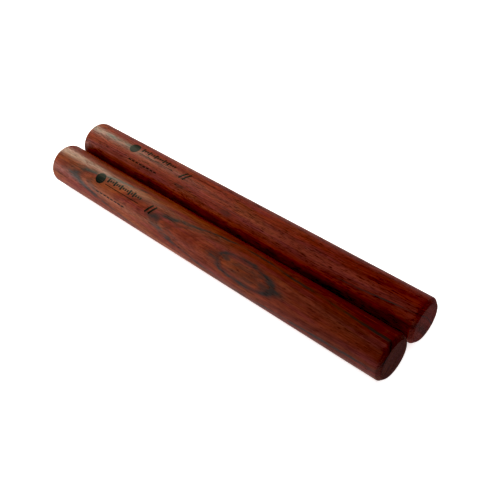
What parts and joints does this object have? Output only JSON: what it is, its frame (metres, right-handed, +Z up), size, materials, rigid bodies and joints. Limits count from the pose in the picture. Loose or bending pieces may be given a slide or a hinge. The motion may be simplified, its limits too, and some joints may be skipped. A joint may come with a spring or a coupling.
{
  "type": "claves",
  "caption": "Solid hardwood claves with bevelled ends, lying side by side: the striker is lifted and struck against its mate in the cupped hand.",
  "frame": {"origin": "on the surface the claves lie on, under the middle of the pair", "axes": "+X along both claves, towards the ends away from the printed mark; +Y from the held clave to the striker; +Z up"},
  "size_m": [0.2, 0.041, 0.02],
  "materials": {
    "held_rosewood": "oiled and polished, dark figured grain",
    "striker_rosewood": "oiled and polished, straight dark grain"
  },
  "bodies": {
    "held_clave": {"held_clave": "held_rosewood"},
    "striker_clave": {"striker_clave": "striker_rosewood"}
  },
  "joints": [
    {"name": "striker_lift", "type": "slide", "parent": "held_clave", "child": "striker_clave", "axis": [0, 0, 1], "range_m": [0, 0.12]}
  ]
}
